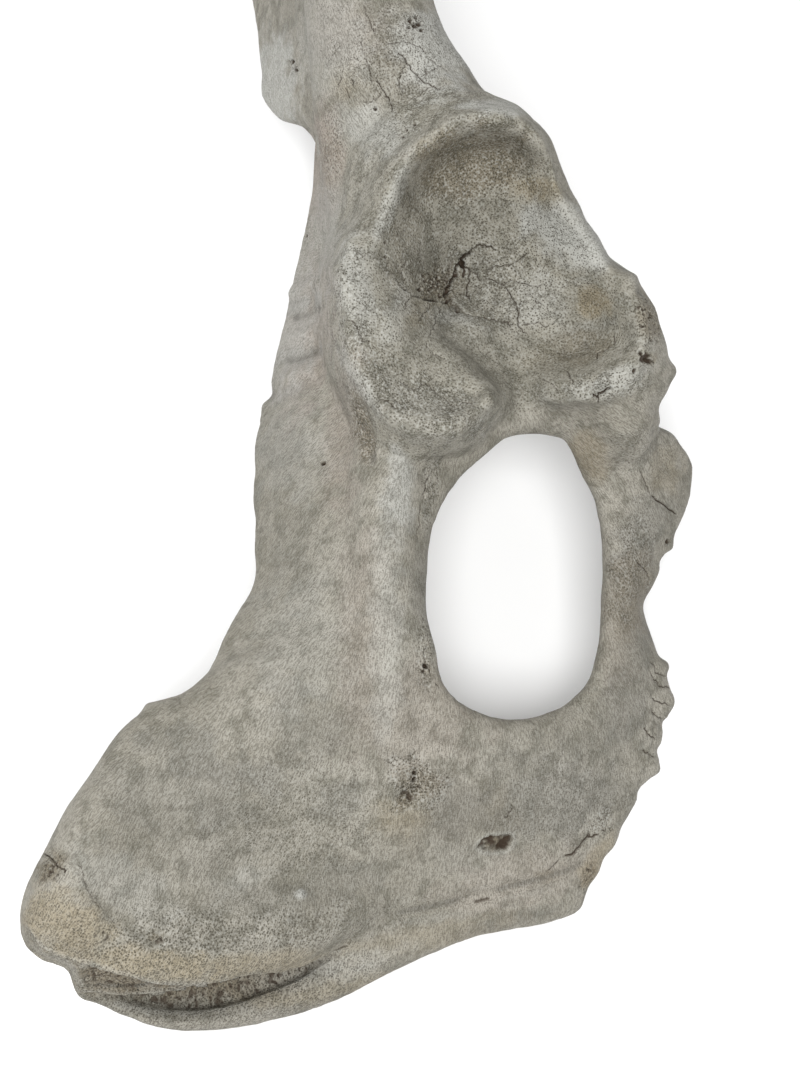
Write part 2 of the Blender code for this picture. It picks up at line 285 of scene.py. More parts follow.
SOCKET_REGION = [
    (316, 330), (314, 290), (322, 255), (335, 220), (340, 185), (350, 150), (375, 118), (410, 94),
    (448, 86), (478, 96), (508, 107), (532, 124), (550, 152), (562, 190), (578, 227), (602, 256),
    (628, 284), (641, 308), (654, 338), (660, 365), (650, 392), (622, 400), (590, 400), (560, 402),
    (535, 410), (512, 416), (498, 424), (480, 442), (455, 458), (420, 465), (385, 452), (350, 425),
    (330, 385), (318, 350),
]
SOCKET_FORM = [
    # the outer wall of the lip, left and above
    (329, 300, 17), (326, 268, 12), (337, 240, 9), (330, 332, 18), (337, 368, 20), (352, 402, 24),
    (380, 434, 26), (412, 452, 26), (362, 205, 11), (366, 178, 11), (380, 152, 11), (400, 130, 10),
    (426, 112, 10), (452, 100, 9),
    # the crest of the lip, from the horn round the left and top to the right
    (492, 396, 27), (482, 415, 29), (463, 433, 31), (440, 442, 32), (413, 437, 33), (388, 420, 34),
    (366, 392, 33), (352, 362, 32), (347, 330, 31), (346, 300, 29), (350, 270, 27), (362, 247, 25),
    (376, 232, 23), (388, 212, 21), (396, 190, 21), (404, 170, 21), (420, 151, 21), (440, 136, 20),
    (461, 123, 19), (482, 115, 18), (506, 114, 17), (528, 127, 15), (545, 151, 13), (559, 185, 11),
    # the broad face of the lunate, inside the left lip
    (371, 330, 30), (370, 300, 28), (374, 270, 25), (390, 300, 25), (405, 300, 20), (420, 298, 13),
    (393, 330, 28), (410, 330, 24), (380, 362, 31), (402, 362, 28), (425, 352, 22), (445, 370, 22),
    (400, 398, 32), (425, 400, 30), (450, 402, 27), (475, 396, 24), (470, 378, 22), (392, 272, 20),
    (409, 252, 13), (402, 228, 14),
    # the upper hollow, then the rough floor and its pit
    (415, 195, 9), (430, 170, 8), (455, 152, 7), (480, 145, 6), (508, 146, 6), (530, 160, 7),
    (440, 195, 3), (470, 180, 1), (505, 180, 1), (535, 190, 4), (427, 225, 4), (455, 225, -2),
    (490, 220, -3), (525, 222, 0), (550, 225, 5), (430, 262, 1), (462, 268, -9), (490, 255, -6),
    (520, 260, -4), (550, 262, 0), (575, 262, 4), (597, 265, 8), (570, 225, 8), (440, 290, -3),
    (468, 296, -5), (500, 295, -6), (530, 300, -4), (455, 318, 2), (480, 328, 3), (500, 338, 1),
    # the smaller hollow on the right, and its rim
    (560, 300, -1), (590, 300, 0), (605, 320, 1), (590, 335, -2), (560, 345, -3), (615, 300, 7),
    (630, 320, 9), (625, 345, 8), (605, 358, 7), (580, 368, 6), (552, 372, 6), (642, 330, 13),
    (644, 355, 14), (628, 372, 14), (600, 381, 14), (572, 388, 13), (548, 386, 11), (600, 394, 9),
    (565, 398, 8),
    # the notch, down between the horn and that rim
    (462, 336, 9), (480, 352, 7), (497, 368, 7), (512, 386, 8), (516, 350, 0), (528, 368, 2),
    (528, 388, 6),
]
# The horn's inner edge stands over the notch: its line, the heights and reaches of its rise and of the fall
# behind it, how round the edge is, and the shares of the line between which it grows
HORN_EDGE = [(428, 318), (438, 333), (450, 344), (463, 354), (480, 370), (495, 386), (498, 398)]
HORN_RISE = 3.0
HORN_RISE_REACH = 26
HORN_FALL = 6.0
HORN_FALL_REACH = 15
HORN_ROUND = 3.0
HORN_GROWTH = (0.02, 0.45)
# Where the socket's form takes over, in the picture's points inside its region
SOCKET_REACH = 8
SOCKET_EDGE = (-5, 7)
# A rim place where the front is deeper than this, in millimetres, has no bone
RIM_DEPTH = -60
# How loosely a form is bent through its places, and how far a point may turn away and still move
FORM_SLACK = 2.0
FORM_FACING = -0.3

# The grid that holds how near the bone's front is: its cells, in the picture's points, and where it starts
CELL = 4.0
CELLS = 300
GRID_START = np.array([-100.0, -60.0])


def spread(known, values, places):
    """A thin plate bent through the known places' values."""
    def bend(a, b):
        square = ((a[:, None, :] - b[None, :, :]) ** 2).sum(2)
        return 0.5 * square * np.log(square + TINY)

    count = len(known)
    flat = np.hstack([np.ones((count, 1)), known])
    system = np.zeros((count + 3, count + 3))
    system[:count, :count] = bend(known, known) + FORM_SLACK * np.eye(count)
    system[:count, count:] = flat
    system[count:, :count] = flat.T
    solved = np.linalg.solve(system, np.concatenate([values, np.zeros(3)]))
    slope = np.hstack([np.ones((len(places), 1)), places]) @ solved[count:]
    return bend(places, known) @ solved[:count] + slope


def cells_of(places):
    """The grid's columns and rows for these places."""
    return np.clip(((places - GRID_START) / CELL).astype(int), 0, CELLS - 1).T


def front_depth(view, places, facing):
    """For any place, how near to the viewer the bone's front is there."""
    grid = np.full((CELLS, CELLS), -FAR)
    seen = facing > 0
    column, row = cells_of(places[seen])
    np.maximum.at(grid, (row, column), view[seen, 2])

    def read(at):
        column, row = cells_of(at)
        return grid[row, column]
    return read


def facing_of(view, normals):
    """How far each point turns to the viewer: 1 is straight on."""
    sight = np.array([0, 0, VIEW_DISTANCE]) - view
    sight /= np.linalg.norm(sight, axis=1)[:, None]
    return np.sum(sight * (normals @ VIEW_TURN), axis=1)


def form_socket(mesh):
    """Moves the socket's front along the sight lines to its own form."""
    view = to_view(points_of(mesh))
    places = in_picture(view)
    facing = facing_of(view, normals_of(mesh))
    depth = inside(places, SOCKET_REGION)
    near = depth > -SOCKET_REACH
    form = np.array(SOCKET_FORM, float)
    rim = curved(SOCKET_REGION + SOCKET_REGION[:1], 2)[:-1]
    known = front_depth(view, places, facing)(rim)
    rim, known = rim[known > RIM_DEPTH], known[known > RIM_DEPTH]
    target = spread(np.vstack([form[:, :2], rim]), np.concatenate([form[:, 2], known]), places[near])
    distance, side, along = to_line(places[near], curved(HORN_EDGE))
    rise = HORN_RISE * np.exp(-distance / HORN_RISE_REACH)
    fall = -HORN_FALL * np.exp(-distance / HORN_FALL_REACH)
    edge = np.where(side > 0, rise, fall) * np.tanh(distance / HORN_ROUND)
    target = target + edge * smooth_step(along, *HORN_GROWTH)
    share = smooth_step(depth[near], *SOCKET_EDGE) * (facing[near] > FORM_FACING)
    view[near] = at_depth(places[near], view[near, 2] * (1 - share) + target * share)
    set_points(mesh, to_world(view))


# Where the outline is drawn in or out a little: its place, reach, and shift to the right and down, in the
# picture's points
PULLS = [
    # the flap's lower end
    ((262, 100), 30, (-7, 0)), ((300, 138), 26, (2, -11)), ((283, 128), 16, (-3, -3)),
    # the shaft's right edge and the lip's
    ((452, 40), 60, (-5, 0)), ((474, 84), 20, (-2, 0)), ((566, 178), 48, (-4, 1)),
    ((614, 256), 28, (-5, 2)), ((636, 276), 10, (3, -2)),
    # the rugged corner and the pubis
    ((672, 350), 22, (-4, 0)), ((674, 372), 12, (2, 0)), ((664, 405), 20, (-7, 0)),
    ((672, 432), 20, (4, -2)), ((690, 478), 20, (-1, 0)),
    # the large opening
    ((480, 450), 34, (3, 4)), ((588, 465), 40, (-6, 2)), ((431, 650), 44, (5, -1)),
    ((600, 690), 26, (2, 2)), ((565, 436), 18, (0, -3)),
    # the spine's edge, its nick and the step
    ((262, 405), 7, (-2, -1)), ((262, 416), 10, (-4, 0)), ((256, 442), 40, (-2, 0)),
    ((254, 548), 34, (-3, 0)), ((232, 630), 60, (-5, -2)), ((180, 690), 30, (3, 5)),
    ((147, 703), 12, (-4, -3)), ((88, 780), 60, (2, 1)),
    # the seat's corner and its lips
    ((24, 945), 34, (-5, 2)), ((58, 976), 24, (9, -6)), ((84, 1000), 20, (-6, 2)),
    # the symphysis
    ((664, 664), 12, (6, 0)), ((670, 702), 16, (4, 0)), ((665, 723), 9, (-6, 0)),
    ((668, 735), 20, (-3, 0)), ((660, 750), 9, (-5, 0)), ((655, 769), 11, (6, 2)),
    ((645, 792), 14, (-5, -2)), ((616, 846), 24, (5, 2)), ((590, 888), 26, (-5, -1)),
    ((668, 548), 7, (4, 0)), ((658, 563), 8, (-4, 0)), ((651, 578), 7, (3, 0)), ((647, 603), 14, (-2, 0)),
    ((678, 512), 6, (4, 0)),
]


def pull(mesh):
    """Shifts the outline as the table says, at the same depths."""
    view = to_view(points_of(mesh))
    places = in_picture(view)
    moved = places.copy()
    for place, reach, shift in PULLS:
        away = np.hypot(places[:, 0] - place[0], places[:, 1] - place[1])
        moved += smooth_step(reach - away, 0, reach)[:, None] * np.array(shift, float)
    set_points(mesh, to_world(at_depth(moved, view[:, 2])))


bone = welded_copy("bone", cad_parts["hip_bone"])
finished(bone, [("SUBSURF", {"levels": 2, "render_levels": 2}),
                ("REMESH", {"mode": "VOXEL", "voxel_size": FORM_STEP}),
                ("SMOOTH", {"factor": 0.5, "iterations": 3})])
form_socket(bone.data)
pull(bone.data)
finished(bone, [("REMESH", {"mode": "VOXEL", "voxel_size": SKIN_STEP}),
                ("SMOOTH", {"factor": 0.5, "iterations": 5})])

# What weather and age left on it. Places are in the picture, widths and radii in its points, heights and
# depths in millimetres

# Cracks: line, width, depth
CRACKS = [
    # the socket's rough floor
    ([(396, 277), (403, 287), (413, 293), (424, 299), (438, 301), (452, 304)], 2.6, 1.5),
    ([(453, 305), (463, 313), (480, 317), (503, 322), (517, 325)], 1.4, 0.8),
    ([(395, 278), (400, 286), (406, 289)], 1.2, 0.6),
    # the narrow end of the seat's slot
    ([(290, 969), (318, 959), (334, 952), (349, 944)], 2.4, 1.6),
    # the socket's pit and the floor round it
    ([(471, 251), (463, 259), (457, 266), (453, 277), (448, 288), (447, 299), (453, 308)], 3.4, 2.0),
    ([(461, 262), (464, 270), (463, 279)], 2.8, 1.0),
    ([(468, 268), (476, 274), (482, 283)], 2.0, 0.5),
    ([(438, 262), (433, 272), (438, 284), (446, 292)], 1.4, 0.6),
    ([(427, 272), (432, 282), (428, 292)], 1.5, 0.9),
    ([(462, 263), (470, 273), (467, 287), (470, 303)], 1.6, 1.0),
    ([(457, 263), (470, 252), (482, 246), (497, 250)], 1.6, 0.9),
    ([(483, 277), (503, 287), (517, 307), (520, 327), (530, 337)], 1.5, 0.9),
    ([(480, 270), (500, 266), (515, 262), (530, 252)], 1.3, 0.6),
    ([(500, 287), (512, 280), (528, 286), (545, 283)], 1.2, 0.6),
    ([(517, 307), (530, 300), (545, 305)], 1.2, 0.6),
    ([(520, 327), (535, 322), (548, 326), (560, 318)], 1.2, 0.6),
    ([(430, 303), (425, 314), (418, 322)], 1.3, 0.6),
    ([(443, 302), (440, 312), (434, 325), (430, 338)], 1.2, 0.6),
    ([(406, 282), (402, 270), (408, 258)], 1.2, 0.5),
    ([(417, 295), (408, 300), (403, 312)], 1.2, 0.5),
    # the lunate's face, left and below
    ([(345, 318), (356, 325), (362, 338), (372, 345)], 1.3, 0.5),
    ([(372, 405), (385, 400), (396, 408), (410, 404)], 1.3, 0.5),
    ([(398, 380), (412, 388), (425, 385), (440, 395)], 1.3, 0.5),
    ([(440, 395), (452, 404), (468, 402), (480, 410)], 1.3, 0.5),
    ([(425, 340), (432, 352), (445, 358)], 1.3, 0.5),
    # the right-hand rim
    ([(615, 330), (612, 345), (598, 353), (598, 362)], 1.4, 0.8),
    ([(593, 398), (600, 392), (610, 389)], 2.2, 1.0),
    ([(598, 393), (598, 403)], 1.8, 0.8),
    ([(568, 370), (570, 377), (573, 384)], 1.3, 0.7),
    ([(540, 378), (552, 384), (560, 395)], 1.2, 0.5),
    # the shaft of the ilium
    ([(360, 36), (364, 52), (369, 70), (373, 87)], 1.3, 0.6),
    ([(375, 78), (383, 92), (390, 102), (393, 114)], 1.4, 0.9),
    ([(394, 48), (407, 61), (414, 72), (427, 83), (444, 89)], 1.4, 0.9),
    ([(407, 61), (402, 72), (399, 82), (405, 95)], 1.3, 0.7),
    ([(385, 45), (403, 42), (420, 48), (430, 54)], 1.2, 0.6),
    ([(427, 56), (440, 65), (453, 73)], 1.2, 0.6),
    ([(413, 100), (423, 90), (434, 86)], 1.2, 0.6),
    ([(420, 77), (430, 70), (440, 66)], 1.2, 0.6),
    ([(383, 92), (372, 100), (362, 104)], 1.1, 0.5),
    ([(344, 68), (341, 80), (337, 94)], 1.2, 0.7),
    ([(352, 79), (354, 86)], 1.6, 0.9),
    ([(346, 88), (350, 99)], 1.2, 0.6),
    ([(362, 2), (369, 20), (375, 36)], 1.1, 0.6),
    # the column's edge, the pubis and the symphysis
    ([(433, 467), (425, 493), (420, 520), (418, 545)], 1.3, 0.5),
    ([(651, 495), (664, 505), (679, 515)], 1.8, 1.0),
    ([(640, 470), (647, 485), (651, 495)], 1.3, 0.6),
    ([(636, 560), (646, 572), (650, 580)], 1.3, 0.6),
    ([(672, 688), (662, 687), (654, 679), (650, 668)], 1.6, 0.7),
    ([(672, 704), (662, 703), (652, 697)], 1.5, 0.75),
    ([(664, 721), (656, 716), (650, 707)], 1.5, 0.6),
    ([(657, 740), (649, 735), (645, 726)], 1.5, 0.75),
    ([(656, 758), (648, 753), (641, 750)], 1.5, 0.6),
    ([(666, 676), (657, 672), (651, 660)], 1.4, 0.8),
    # the corner between the symphysis and the seat bone
    ([(560, 860), (575, 852), (589, 838), (600, 834), (609, 829)], 2.2, 0.78),
    ([(548, 872), (560, 860)], 1.4, 0.6),
    # the seat bone, the column beside the large opening, and the seat's outer corner
    ([(469, 904), (491, 898)], 4.6, 0.45),
    ([(513, 803), (510, 812), (507, 820)], 1.6, 0.5),
    ([(427, 640), (425, 655), (430, 672), (440, 690)], 1.3, 0.6),
    ([(40, 850), (50, 858), (60, 868), (68, 872)], 1.8, 0.9),
    ([(67, 860), (80, 868), (86, 885), (92, 898), (104, 910)], 1.4, 0.4),
]
# Pits: place, radius, depth
PITS = [
    ((462, 265), 3.0, 2.0), ((456, 276), 2.4, 1.2), ((449, 290), 2.4, 1.0), ((458, 311), 2.4, 0.8),
    ((429, 290), 2.0, 0.6), ((424, 281), 1.8, 0.5), ((440, 295), 3.0, 1.0), ((420, 289), 2.4, 0.8),
    ((441, 281), 2.0, 0.5), ((410, 21), 2.0, 1.1), ((415, 18), 2.2, 1.2), ((419, 24), 2.3, 1.2),
    ((414, 26), 2.4, 1.2), ((409, 28), 1.7, 0.9), ((421, 31), 1.6, 0.8), ((375, 109), 1.9, 0.9),
    ((405, 128), 1.4, 0.8), ((413, 122), 1.4, 0.8), ((386, 242), 1.8, 1.2), ((387, 257), 1.8, 1.3),
    ((401, 134), 1.2, 0.6), ((292, 62), 2.6, 1.0), ((296, 70), 2.4, 0.9), ((307, 236), 1.6, 1.0),
    ((323, 463), 2.2, 1.6), ((427, 666), 3.4, 1.6), ((424, 672), 2.0, 1.0), ((647, 358), 6.5, 1.1),
    ((641, 353), 3.2, 1.2), ((652, 362), 3.2, 1.2), ((634, 371), 2.0, 0.8), ((416, 775), 2.3, 1.6),
    ((415, 781), 2.6, 1.8), ((407, 792), 1.8, 0.5), ((590, 835), 1.8, 0.3), ((668, 541), 2.4, 0.8),
]
# Patches where the surface has gone and the spongy bone shows: middle, half sizes, turn, strength
POROUS = [
    ((648, 322), (12, 28), -15, 1.0), ((411, 790), (18, 12), -35, 0.9), ((343, 84), (13, 19), 10, 0.25),
    ((415, 22), (8, 7), 0, 0.9), ((53, 867), (14, 19), 30, 0.9), ((102, 936), (9, 6), 0, 0.8),
    ((155, 940), (10, 5), 0, 0.8), ((394, 54), (10, 7), 0, 0.4), ((436, 284), (19, 17), 0, 1.0),
    ((390, 400), (26, 22), 0, 0.25), ((455, 415), (26, 12), 0, 0.3), ((587, 878), (6, 16), 25, 0.7),
    ((294, 66), (5, 9), 10, 0.5), ((604, 392), (14, 8), -15, 0.5), ((427, 668), (5, 8), 0, 0.6),
    ((100, 990), (22, 16), 10, 0.6), ((360, 425), (7, 20), -12, 0.4), ((240, 935), (60, 10), -6, 0.25),
    ((645, 540), (12, 10), 0, 0.25),
]
# The lower edge of the seat's upper lip, over a porous slot, and the slot's width and that of its fade
SLOT = [
    (76, 964), (95, 972), (125, 978), (165, 984), (210, 983), (250, 975), (290, 968), (318, 958),
    (350, 945),
]
SLOT_WIDTH = 18
SLOT_END = 27
# The window where the seat bone's spongy inside shows
WINDOW_MIDDLE = (497, 843)
WINDOW_HALF = (16, 8.5)
WINDOW_TILT = 0.1
# The torn layers of the symphysis
TORN_REGION = [(646, 680), (676, 676), (676, 775), (646, 775)]
LAYER_WIDTH = 13.0
# Soft ridges and grooves: line, half width, height
FOLDS = [
    ([(390, 772), (398, 790), (404, 808)], 11, 0.8),
    ([(413, 766), (419, 780), (415, 796)], 7, -1.1),
    ([(297, 893), (303, 894)], 4, 0.9),
    ([(396, 803), (407, 794), (419, 788)], 5, -1.2),
    ([(476, 264), (485, 277), (488, 292), (482, 308)], 6, 0.9),
    ([(436, 262), (430, 276), (436, 291)], 4, 0.5),
    ([(494, 262), (512, 280), (518, 300)], 6, 0.4),
    ([(373, 467), (380, 530), (385, 600), (396, 690), (402, 750)], 16, 1.0),
    ([(352, 470), (348, 530), (345, 600)], 14, -0.7),
    ([(286, 296), (304, 290), (326, 279)], 7, 0.9),
    ([(284, 340), (302, 336), (322, 327)], 7, 0.9),
    ([(279, 381), (297, 376), (318, 369)], 7, 0.9),
    ([(270, 425), (290, 424), (312, 416)], 8, 0.4),
    ([(287, 318), (305, 314), (322, 305)], 6, -0.8),
    ([(281, 361), (300, 357), (320, 348)], 6, -0.8),
    ([(356, 395), (362, 415), (370, 440), (372, 470)], 6, -1.0),
    ([(345, 236), (352, 205), (368, 172), (395, 143), (420, 125), (452, 106)], 7, -0.9),
    ([(350, 262), (355, 232), (372, 205)], 6, 0.6),
    ([(446, 62), (465, 82), (480, 88)], 6, -0.5),
    ([(400, 175), (412, 155), (436, 134), (460, 119), (484, 112), (508, 112)], 5, 0.7),
    ([(352, 300), (350, 330), (356, 362), (372, 393), (395, 420), (425, 438)], 8, 0.6),
    ([(540, 205), (565, 215), (590, 240), (610, 262)], 12, 0.7),
    ([(450, 318), (470, 326), (492, 338)], 8, 0.9),
    ([(478, 268), (500, 290), (512, 318)], 9, 0.7),
    ([(530, 392), (560, 398), (600, 396), (632, 384)], 6, 0.8),
    ([(557, 352), (575, 350), (592, 342)], 8, -0.8),
    ([(590, 470), (612, 450), (630, 425)], 9, 0.5),
    ([(655, 420), (662, 450), (668, 480)], 8, -0.6),
    ([(373, 917), (433, 907), (500, 890), (567, 872), (600, 852)], 5, -0.7),
    ([(380, 926), (440, 918), (510, 900), (570, 884)], 7, 0.5),
    ([(100, 760), (150, 790), (190, 840)], 26, -0.5),
    ([(200, 780), (260, 790), (320, 830)], 30, 0.4),
    ([(440, 760), (500, 770), (560, 790)], 26, -0.5),
    ([(560, 720), (600, 700), (625, 650), (628, 590)], 12, -0.5),
]
# Ledges where one layer of bone stands over the next: line, rise on its right, reaches of rise and fall
LEDGES = [
    ([(458, 256), (450, 270), (446, 286), (452, 301), (466, 314)], -1.5, 9, 5),
    ([(396, 278), (410, 291), (428, 301), (446, 303)], 0.9, 8, 5),
    ([(478, 262), (492, 258), (510, 264), (526, 280), (532, 300)], -0.5, 6, 6),
    ([(20, 918), (45, 948), (80, 962), (125, 974), (165, 982),
      (210, 981), (250, 973), (290, 966), (318, 956), (347, 945)], -3.0, 12, 7),
    ([(60, 855), (75, 868), (84, 884), (100, 905), (118, 930),
      (150, 941), (180, 940), (230, 952)], 0.5, 10, 8),
    ([(250, 118), (275, 119), (297, 128), (312, 126)], -0.6, 6, 6),
    ([(650, 690), (653, 720), (650, 750), (646, 765)], 0.7, 6, 5),
    ([(562, 862), (580, 850), (592, 836), (612, 826)], 0.7, 8, 6),
]
# Bumps and hollows that show on the outline: place, depth, radius in millimetres, height
KNOBS = [
    ((692, 470), -34, 4.0, 0.7), ((672, 392), -12, 3.5, -1.2), ((660, 350), 0, 3.0, 0.7),
    ((672, 372), -6, 2.2, 1.0), ((683, 425), -28, 4.0, -1.2), ((668, 545), -26, 2.2, 1.1),
    ((657, 556), -26, 2.4, -0.8), ((652, 568), -22, 1.8, 0.8), ((642, 607), -20, 4.5, -1.2),
    ((664, 666), -22, 2.0, 1.4), ((655, 657), -22, 2.0, -0.8), ((670, 700), -22, 3.0, 0.9),
    ((661, 723), -22, 1.8, -1.0), ((659, 742), -22, 1.6, 1.0), ((652, 770), -22, 2.2, 1.3),
    ((642, 785), -20, 3.0, -1.2), ((600, 850), -14, 3.5, -0.6), ((592, 868), -12, 3.0, 0.6),
    ((580, 905), -10, 3.5, 0.8), ((262, 405), -22, 2.0, 1.0), ((268, 392), -22, 2.4, -1.0),
    ((146, 704), 10, 2.0, 1.5), ((158, 708), 10, 2.4, -1.2), ((254, 540), -12, 3.0, 0.6),
    ((252, 470), -14, 4.0, -0.5), ((633, 280), 8, 2.4, 0.9), ((640, 292), 7, 1.8, -0.7),
    ((655, 308), 5, 2.6, 0.8), ((545, 132), 8, 4.0, 0.6), ((575, 205), 6, 3.0, 0.5),
    ((310, 236), -20, 3.0, 0.5), ((72, 970), 20, 3.5, -0.7), ((80, 985), 20, 3.0, 0.8),
]
# Paler places, and places with fine dark specks: middle, half sizes, turn in degrees, strength
PALE = [
    ((300, 894), (7, 6), 0, 0.9), ((290, 440), (44, 60), 0, 0.3), ((575, 240), (46, 30), 40, 1.0),
    ((550, 225), (34, 22), 20, 1.0), ((540, 300), (26, 30), 0, 0.4), ((275, 90), (30, 60), 0, 1.2),
    ((300, 640), (60, 70), 0, 0.25), ((290, 320), (34, 90), 8, 0.75), ((370, 128), (40, 26), 20, 0.7),
    ((610, 235), (24, 20), 40, 0.8), ((495, 107), (40, 9), 5, 0.9), ((650, 330), (26, 44), -10, 0.15),
    ((600, 388), (44, 10), -5, 0.3), ((435, 50), (44, 48), -30, 1.0), ((275, 80), (22, 60), 0, 0.5),
    ((320, 230), (20, 60), 8, 0.5), ((392, 200), (8, 60), 22, 0.6), ((357, 290), (22, 60), -4, 0.6),
    ((360, 380), (9, 40), -30, 0.6), ((395, 320), (14, 30), 20, 0.5), ((330, 970), (90, 14), -14, 0.45),
    ((398, 500), (18, 60), 0, 0.85), ((385, 640), (18, 110), 0, 0.4), ((620, 375), (30, 12), -20, 0.6),
    ((335, 40), (44, 60), 10, 0.5), ((120, 880), (60, 30), 30, 0.3), ((450, 318), (26, 8), 15, 0.5),
    ((240, 880), (30, 14), -20, 0.3),
]
SPECKS = [
    ((368, 345), (24, 55), -12, 1.0), ((598, 824), (20, 13), -35, 1.0), ((430, 405), (60, 24), 22, 1.0),
    ((480, 285), (70, 42), 0, 0.9), ((408, 240), (22, 60), 10, 0.7), ((470, 165), (70, 40), -10, 0.6),
    ((250, 930), (170, 24), -6, 0.5), ((415, 785), (34, 30), 0, 0.8), ((427, 640), (10, 50), 0, 0.6),
    ((432, 480), (9, 50), 5, 0.7), ((632, 560), (24, 60), 10, 0.6), ((600, 385), (40, 12), 0, 0.6),
    ((480, 12), (20, 60), -25, 0.3), ((330, 150), (14, 50), 8, 0.6), ((400, 60), (70, 60), 20, 0.6),
    ((362, 428), (11, 40), -10, 0.9), ((640, 450), (36, 30), 0, 0.4), ((300, 820), (80, 60), 0, 0.35),
    ((560, 800), (70, 50), 0, 0.3), ((350, 270), (14, 40), 8, 0.5), ((455, 90), (40, 14), 10, 0.5),
]
# Stains, in the same way: brown earth, tan, rose and grey; a few brown and grey patches are painted shade
# in hollows. The seat's tan rim is porous too
BROWN = [
    ((120, 986), (50, 13), 8, 1.0), ((210, 990), (80, 10), -2, 1.0), ((290, 974), (50, 7), -14, 0.9),
    ((470, 165), (66, 36), -12, 0.9), ((533, 188), (22, 12), 10, 0.5), ((362, 428), (10, 40), -8, 0.8),
    # the patch at (580, 347) is painted shade in the bottom of the right-hand hollow
    ((418, 785), (22, 18), 0, 0.7), ((593, 303), (17, 17), 0, 0.45), ((580, 347), (36, 18), -20, 0.6),
    ((545, 877), (12, 7), 0, 0.5), ((408, 225), (16, 50), 12, 0.3), ((365, 428), (8, 26), -12, 0.7),
    # the patch at (560, 352) is painted shade in the bottom of the right-hand hollow
    # the wide weak patch at (440, 285) is painted shade round the socket's pit
    ((560, 352), (40, 16), -20, 0.35), ((440, 285), (32, 22), 0, 0.45), ((497, 843), (15, 8), -5, 1.0),
    ((415, 785), (14, 10), 0, 0.6), ((648, 322), (12, 26), -15, 1.0), ((648, 357), (9, 8), 0, 1.0),
    ((436, 284), (20, 20), 0, 0.85), ((53, 866), (13, 18), 30, 0.8), ((632, 590), (26, 46), 10, 0.6),
    ((465, 810), (50, 36), 0, 0.22), ((590, 455), (22, 30), -35, 0.45), ((343, 82), (14, 18), 0, 0.2),
    # the patch at (408, 795) is painted shade in the hollow below the lump
    ((408, 795), (18, 10), -30, 0.9), ((415, 23), (7, 7), 0, 0.8), ((385, 60), (14, 10), 0, 0.35),
    ((330, 160), (14, 40), 8, 0.35), ((100, 985), (26, 14), 10, 0.8), ((588, 876), (6, 16), 25, 0.7),
    ((155, 938), (9, 6), 0, 0.6), ((295, 66), (5, 9), 0, 0.5), ((500, 800), (10, 18), 20, 0.3),
    ((323, 463), (4, 4), 0, 0.7), ((427, 668), (5, 6), 0, 0.8), ((405, 830), (28, 24), 0, 0.25),
]
SEAT_TAN = [
    ((66, 925), (54, 34), 28, 0.8), ((150, 962), (90, 16), 6, 0.8), ((250, 962), (90, 11), -6, 0.6),
]
TAN = SEAT_TAN + [
    ((346, 82), (16, 20), 0, 0.35), ((408, 64), (12, 10), 0, 0.3), ((535, 190), (26, 15), 10, 0.7),
    ((593, 303), (18, 18), 0, 0.95), ((400, 815), (30, 22), 0, 0.4), ((430, 145), (30, 12), -40, 0.5),
    ((420, 940), (120, 16), -12, 0.35), ((310, 990), (90, 16), -8, 0.4), ((600, 862), (14, 34), 28, 0.6),
    ((665, 470), (18, 26), 0, 0.35), ((283, 90), (24, 40), 0, 0.5), ((590, 455), (20, 26), -30, 0.5),
    ((640, 250), (20, 60), -30, 0.2), ((420, 310), (40, 16), -35, 0.35),
]
ROSE = [
    ((304, 330), (30, 90), 8, 0.9), ((322, 170), (22, 70), 8, 0.9), ((345, 30), (40, 40), 0, 0.5),
    ((345, 420), (22, 90), 6, 0.5), ((360, 640), (30, 120), 0, 0.35), ((620, 620), (24, 90), 0, 0.25),
    ((420, 720), (70, 60), 0, 0.3), ((520, 880), (90, 30), -14, 0.3),
]
GREY = [
    ((290, 356), (36, 9), -14, 0.7), ((296, 306), (34, 8), -14, 0.7), ((290, 395), (30, 9), -14, 0.5),
    ((285, 450), (30, 30), 0, 0.35), ((300, 560), (44, 60), 0, 0.3), ((210, 790), (60, 40), 20, 0.45),
    ((310, 730), (50, 30), 0, 0.35), ((150, 800), (60, 36), 30, 0.35), ((420, 590), (14, 50), 0, 0.5),
    ((632, 560), (26, 44), 10, 0.7), ((650, 520), (26, 30), 20, 0.5), ((560, 760), (80, 26), -10, 0.3),
    ((340, 880), (60, 20), -10, 0.4), ((270, 900), (80, 24), 0, 0.35), ((380, 395), (40, 30), 30, 0.45),
    ((420, 430), (40, 14), 10, 0.45), ((640, 650), (16, 60), 8, 0.5), ((330, 210), (12, 40), 10, 0.3),
    ((475, 300), (70, 60), 0, 0.35), ((460, 850), (40, 26), 0, 0.3), ((225, 860), (60, 40), 0, 0.2),
    # the patch at (585, 335) is painted shade in the bottom of the right-hand hollow
    ((585, 335), (34, 18), -24, 0.9), ((435, 405), (50, 20), 20, 0.5), ((190, 760), (50, 34), 20, 0.7),
    ((460, 810), (40, 30), 0, 0.8), ((630, 585), (22, 40), 10, 0.9), ((555, 800), (80, 40), -10, 0.6),
    ((625, 710), (26, 44), 10, 0.6), ((505, 922), (56, 9), -14, 0.9), ((260, 780), (30, 20), 30, 0.6),
    ((290, 700), (24, 30), 0, 0.45), ((215, 815), (26, 18), 0, 0.6), ((340, 800), (30, 20), -20, 0.5),
    ((130, 800), (20, 26), 20, 0.4), ((470, 405), (10, 30), -50, 0.4), ((240, 520), (20, 90), 0, 0.3),
    ((340, 265), (16, 40), 10, 0.3), ((570, 395), (60, 14), 0, 0.3), ((180, 1010), (120, 12), 0, 0.5),
]

# Where the bone's grain runs out from
GRAIN_START = (470, 290)
